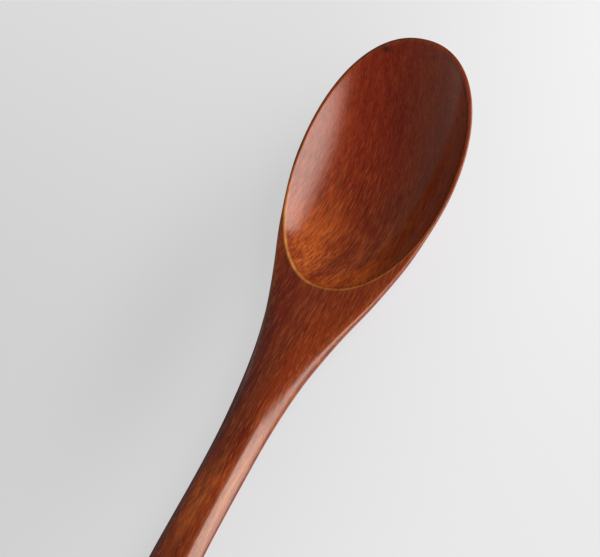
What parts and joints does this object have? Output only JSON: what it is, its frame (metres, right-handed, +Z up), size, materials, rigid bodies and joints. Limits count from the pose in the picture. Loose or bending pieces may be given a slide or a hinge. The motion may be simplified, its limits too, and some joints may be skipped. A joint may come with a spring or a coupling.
{
  "type": "wooden spoon",
  "caption": "One-piece carved and lacquered wooden spoon with a deep oval bowl, a softly shouldered neck and a slim rounded handle.",
  "frame": {"origin": "on the table plane under the middle of the spoon's length and width, which is its bounding box's bottom centre", "axes": "+X along the spoon from the handle's end to the bowl's tip, +Z up out of the hollow, Y across"},
  "size_m": [0.185, 0.0456, 0.0227],
  "materials": {
    "lacquered_wood": "clear satin-gloss lacquer over reddish-brown wood"
  },
  "bodies": {
    "root": {"spoon": "lacquered_wood"}
  },
  "joints": []
}
